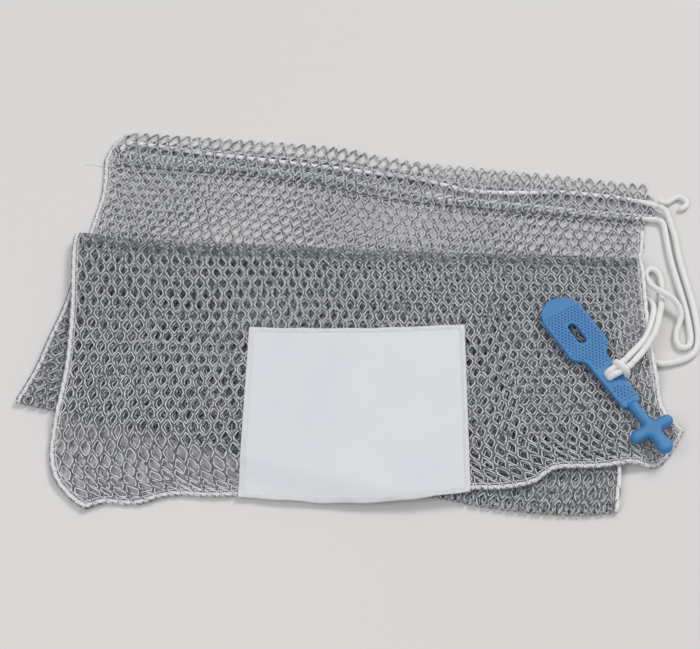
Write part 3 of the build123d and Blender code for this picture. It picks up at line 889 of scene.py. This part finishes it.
SEAM_MID = (1.75, 5.55, 9.6)  # the side seams' heights in the three layers
BOTTOM_SEAM_Z = 9.2
SEAM_IN = 2.2  # from the net's edge to the middle of its seam
RIGHT_SEAM_FROM = 0.17  # the right seam starts below the hem, where the drawstring comes out


def side_strips(s, first):
    return [
        seam_strip(low, SEAM_MID[0], s, first, s, 1, 400),
        seam_strip(mid, SEAM_MID[1], s, 0, s, 1, 300),
        seam_strip(top, SEAM_MID[2], s, 0, s, 0.995, 300),
    ]


edge = SEAM_IN / WIDE
lowest = 1 - SEAM_IN / top.long
# the cores of the left and bottom seams take painted shade (core tone 1); the right seam's core stays white
for name, strips, thick, inward, core_tone, node in (
    ("left_seam_overlock", side_strips(edge, 0.01), 3.6, 1, 1, "left_side_seam"),
    ("right_seam_overlock", side_strips(1 - edge, RIGHT_SEAM_FROM), 3.6, -1, 0, "right_side_seam"),
    (
        "bottom_seam_overlock", [seam_strip(top, BOTTOM_SEAM_Z, 0.002, lowest, 0.998, lowest, 500)],
        3.0, 1, 1, "bottom_seam",
    ),
):
    stand_for(overlock(name, strips, thick, inward, core_tone), node)

# ---------------------------------------------------------------- stitches


def stitches(name, line, normals, radius, stitch, gap, arch, material):
    """A row of separate stitches along a line."""
    per = 10
    count = int(length_of(line) / (stitch + gap))
    centre, up = evenly_with(line, normals, count * per)
    use = int(round(per * stitch / (stitch + gap)))
    a = centre.reshape(count, per, 3)[:, : use + 1]
    n = up.reshape(count, per, 3)[:, : use + 1]
    rise_up = np.sin(np.linspace(0, math.pi, use + 1))[None, :]
    a = a + n * (arch * rise_up)[..., None] + chance.normal(0, 0.03, (count, 1, 3))
    thick = radius * np.sqrt(np.clip(0.25 + rise_up, 0, 1)) * np.ones((count, 1))
    made = one_tone(tubes(a, n, thick, 6, False), 0)
    return link(name, mesh_from(name, *joined([made]), [material]))


HEM_SEWN_AT = 46.5  # from the mouth to the hem's stitches
# the hem's stitches are drawn near-black: painted shade for the dark slots where the hem is sewn
for panel, ply, height, side in (("front", 3, LOW_FRONT, 1), ("back", 0, LOW_BACK, -1)):
    t = np.full(600, HEM_SEWN_AT / low.long)
    s = np.linspace(0.02, 0.985, 600)
    line, normals = surface(low, height, s * WIDE, t * low.long, ply)
    line = line + normals * 1.15 * side
    made = stitches(f"{panel}_hem_stitches", line, normals * side, 0.85, 5.4, 4.4, 0.15, stitch_painted_shade)
    stand_for(made, f"{panel}_hem_stitching")

# ---------------------------------------------------------------- patch

PATCH = np.array([(-90, -26), (97, -23), (94.5, -181), (-93, -183.5)], float)
PATCH_Z = 11.15
PATCH_WIDE, PATCH_LONG = 184.0, 156.0
PATCH_THICK = 0.55
PATCH_GRID = (150, 128)


def patch_point(a, b):
    """A point of the patch, a across from its left edge and b down from its top edge, both from 0 to 1."""
    a1, b1 = a[..., None], b[..., None]
    flat = (1 - a1) * (1 - b1) * PATCH[0] + a1 * (1 - b1) * PATCH[1]
    flat = flat + a1 * b1 * PATCH[2] + (1 - a1) * b1 * PATCH[3]
    flat[..., 1] -= 7.2 * np.sin(math.pi * np.clip(a, 0, 1) ** 1.2) * b**3
    flat[..., 1] -= 2.4 * np.sin(math.pi * a) * (1 - b) ** 3
    return flat


def patch_height(a, b):
    """The patch lies on the net, puckers along its stitches and dips a little between them."""
    x, y = a * PATCH_WIDE, b * PATCH_LONG
    from_side, from_end = np.minimum(x, PATCH_WIDE - x), np.minimum(y, PATCH_LONG - y)
    inside = np.minimum(from_side, from_end)
    sewn = np.exp(-(((inside - 4.2) / 1.1) ** 2))
    run = np.where(from_side < from_end, y, x)
    pucker = 0.10 * np.sin(run / 1.9) * np.exp(-(((inside - 4.5) / 4.0) ** 2))
    soft = 0.22 * np.sin(x / 21 + 0.8) * np.sin(y / 26 + 0.3) + 0.12 * np.sin(x / 9 + y / 12)
    return 0.62 - 0.28 * sewn + pucker + 0.5 * soft * rise((inside - 5) / 20)


def patch_top(a, b):
    """Points of the patch's upper face: it lies on the top layer, and is let down with it past the fold."""
    flat = patch_point(a, b)
    x, y = flat[..., 0], flat[..., 1]
    under = draped(x, y, np.full(x.shape, TOP_FRONT), TOP_FRONT)
    return np.stack([x, y, under + PATCH_Z - TOP_FRONT + patch_height(a, b)], -1)


def patch_mesh():
    """The patch as a closed sheet: an upper face, a lower one and the rim between them."""
    nx, ny = PATCH_GRID
    a, b = np.meshgrid(np.linspace(0, 1, nx), np.linspace(0, 1, ny))
    rim = np.minimum(np.minimum(a, 1 - a) * PATCH_WIDE, np.minimum(b, 1 - b) * PATCH_LONG)
    upper = patch_top(a, b)
    upper[..., 1] += 0.35 * np.sin(a * 31) * (np.abs(b - 0.5) * 2) ** 24
    upper[..., 2] -= 0.25 * (1 - rise(rim / 0.9))
    upper = upper.reshape(-1, 3)
    lower = upper.copy()
    lower[:, 2] -= PATCH_THICK
    i, j = np.meshgrid(np.arange(nx - 1), np.arange(ny - 1))
    q = (j * nx + i).ravel()
    quads = np.stack([q, q + nx, q + nx + 1, q + 1], -1)
    under = quads[:, ::-1] + nx * ny
    loop = [j * nx for j in range(ny)] + [(ny - 1) * nx + i for i in range(1, nx)]
    loop += [j * nx + nx - 1 for j in range(ny - 2, -1, -1)] + [i for i in range(nx - 2, 0, -1)]
    loop = np.array(loop)
    nxt = np.roll(loop, -1)
    rim_quads = np.stack([loop, loop + nx * ny, nxt + nx * ny, nxt], -1)
    quads = np.concatenate([quads, under, rim_quads])
    points, none = np.concatenate([upper, lower]), np.zeros((0, 3), int)
    return mesh_from("id_patch_cloth", points, quads, none, np.zeros(len(quads)), [patch_cloth])


patch = link("id_patch_cloth", patch_mesh())
stand_for(patch, "id_patch")


def patch_edging():
    """The overlock stitch that whips round the patch's edge."""
    step, wide, pitch = 0.21, 2.7, 1.25
    half = PATCH_WIDE + PATCH_LONG
    run = np.arange(0, 2 * half, step)
    corner = np.array([0, PATCH_WIDE, half, half + PATCH_WIDE, 2 * half])
    x = np.interp(run, corner, [0, PATCH_WIDE, PATCH_WIDE, 0, 0])
    y = np.interp(run, corner, [0, 0, PATCH_LONG, PATCH_LONG, 0])
    swing = np.cos(2 * math.pi * run / pitch)
    inset = wide - 0.55 + wide * swing * (1 + 0.06 * np.sin(run * 1.7))
    inset = inset + chance.normal(0, 0.06, len(run))
    a = np.clip(x, inset, PATCH_WIDE - inset) / PATCH_WIDE
    b = np.clip(y, inset, PATCH_LONG - inset) / PATCH_LONG
    line = patch_top(a, b)
    line[:, 2] += 0.18 - 0.45 * (1 - rise(inset / 1.0))
    up = np.tile([0.0, 0.0, 1.0], (len(line), 1))
    whip = one_tone(tubes(line[None], up[None], np.full((1, len(line)), 0.24), 4, False), 0)
    name = "patch_border_stitches"
    return link(name, mesh_from(name, *joined([whip]), [thread_white]))


patch_stitches = patch_edging()
stand_for(patch_stitches, "patch_stitching")

# ---------------------------------------------------------------- closure

CLOSURE_AT = np.array([192.7, -35.6])
TURN = math.radians(-60)
ALONG = np.array([math.cos(TURN), math.sin(TURN)])
ACROSS = np.array([-math.sin(TURN), math.cos(TURN)])
HOLE_S = 48.0  # the cord hole's station along the closure
STRAP_TOP = 17.65
PADDLE_HALF = 19.5
DOT_ROW, DOT_GAP = 2.55, 3.4
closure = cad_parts["rubber_closure"]
for its_slot in closure.material_slots:
    its_slot.material = rubber
if not closure.material_slots:
    closure.data.materials.append(rubber)


def half_width(s):
    """Half the closure's width at a station along it."""
    if s < 20:
        return PADDLE_HALF if s > -20 else math.sqrt(max(PADDLE_HALF**2 - (s + 20) ** 2, 0))
    if s < 28:
        return PADDLE_HALF - (s - 20) / 8 * 9.35
    return 10.15 - (s - 28) * 0.02


def closure_dots():
    """The moulded grip dots on the paddle and the strap, left out at the slot, the hole and the knot."""
    parts = []
    row = 0
    s = -21.6
    while s < 71.5:
        w = -18.0 + (DOT_GAP / 2 if row % 2 else 0.0)
        while w < 18.1:
            in_slot = abs(w) < 5.6 and abs(s) < 13.0
            in_hole = math.hypot(s - HOLE_S, w) < 6.6
            under_knot = abs(s - HOLE_S) < (13.0 if w > 2.0 else 9.5)
            if abs(w) < half_width(s) - 2.4 and not (in_slot or in_hole or under_knot):
                parts.append((s, w))
            w += DOT_GAP
        s += DOT_ROW
        row += 1
    middles = np.array(parts)
    flat = CLOSURE_AT + middles[:, :1] * ALONG + middles[:, 1:] * ACROSS
    angle = np.arange(10) * 2 * math.pi / 10
    points, quads, tris = [], [], []
    for x, y in flat:
        base = len(points)
        for radius, height in ((0.84, -0.05), (0.74, 0.06)):
            z = STRAP_TOP + height
            points += [(x + radius * math.cos(a), y + radius * math.sin(a), z) for a in angle]
        points.append((x, y, STRAP_TOP + 0.08))
        for k in range(10):
            turn = (k + 1) % 10
            quads.append((base + k, base + turn, base + 10 + turn, base + 10 + k))
            tris.append((base + 10 + k, base + 10 + turn, base + 20))
    quads, tris = np.array(quads), np.array(tris)
    tones = np.zeros(len(quads) + len(tris))
    return mesh_from("closure_grip_dots", np.array(points), quads, tris, tones, [rubber_dot])


dots = link("closure_grip_dots", closure_dots(), "closure")

# ---------------------------------------------------------------- knot


def knot_world(s, w, z):
    """A point in the closure's frame at the cord hole: s along the closure, w across it."""
    spot = CLOSURE_AT + (HOLE_S + s) * ALONG + w * ACROSS
    return (spot[0], spot[1], z)


# a cow hitch: both strands through the bight that comes up through the hole
KNOT_WRAPS = [
    (1.5, 20.7, 20.9), (2.2, 17.0, 20.9), (2.6, 12.0, 21.0), (2.8, 7.0, 21.2), (2.6, 2.0, 21.0),
    (2.3, -1.4, 19.4), (1.9, -2.2, 15.5), (1.9, -1.4, 12.8), (3.0, 2.0, 12.35), (4.6, 7.0, 12.35),
    (5.8, 11.6, 12.6), (6.7, 12.6, 15.5), (6.9, 12.2, 19.5), (5.2, 11.6, 23.2), (1.2, 10.8, 24.6),
    (-3.2, 9.6, 24.4), (-6.6, 9.2, 21.8), (-7.0, 10.4, 17.0), (-5.9, 11.2, 12.8), (-4.6, 7.0, 12.35),
    (-3.0, 2.0, 12.35), (-1.9, -1.4, 12.8), (-1.9, -2.2, 15.5), (-2.3, -1.4, 19.4), (-2.6, 2.0, 21.0),
    (-2.8, 7.0, 21.2), (-3.2, 12.0, 21.0), (-4.48, 18.2, 20.9),
]


def pressed_under_strap(centre):
    """The loop is pressed flat where it runs under the closure's strap."""
    free = rise((centre[:, 2] - 12.7) / 2.4)
    return np.ones(len(centre)), 0.34 + 0.66 * free


knot_line = spline_points("knot_line", [knot_world(*p) for p in KNOT_WRAPS])
knot_mesh = braid("knot_wraps", knot_line, 3.0, 0.7, 28, 3.2, False, pressed_under_strap)
knot = link("knot_wraps", knot_mesh, "drawstring_knot")
stand_for(knot, "closure_knot")

to_knot = ("bag", "drawstring_knot")
outer = free_cord("free_strand_outer_cord", OUTER_ROUTE, to_knot)
stand_for(outer, "free_strand_outer")
inner = free_cord("free_strand_inner_cord", INNER_ROUTE, to_knot)
stand_for(inner, "free_strand_inner")
cut = free_cord("drawstring_cut_end_cord", CUT_END_ROUTE, ("bag",))
stand_for(cut, "drawstring_cut_end")

# ---------------------------------------------------------------- floor

floor_mesh = bpy.data.meshes.new("floor")
reach = 3.0  # metres
floor_corners = [(-reach, -reach, 0), (reach, -reach, 0), (reach, reach, 0), (-reach, reach, 0)]
floor_mesh.from_pydata(floor_corners, [], [(0, 1, 2, 3)])
floor_mesh.materials.append(shader("floor", (0.72, 0.705, 0.695), 0.75)[0])
floor = bpy.data.objects.new("floor", floor_mesh)
scene.collection.objects.link(floor)
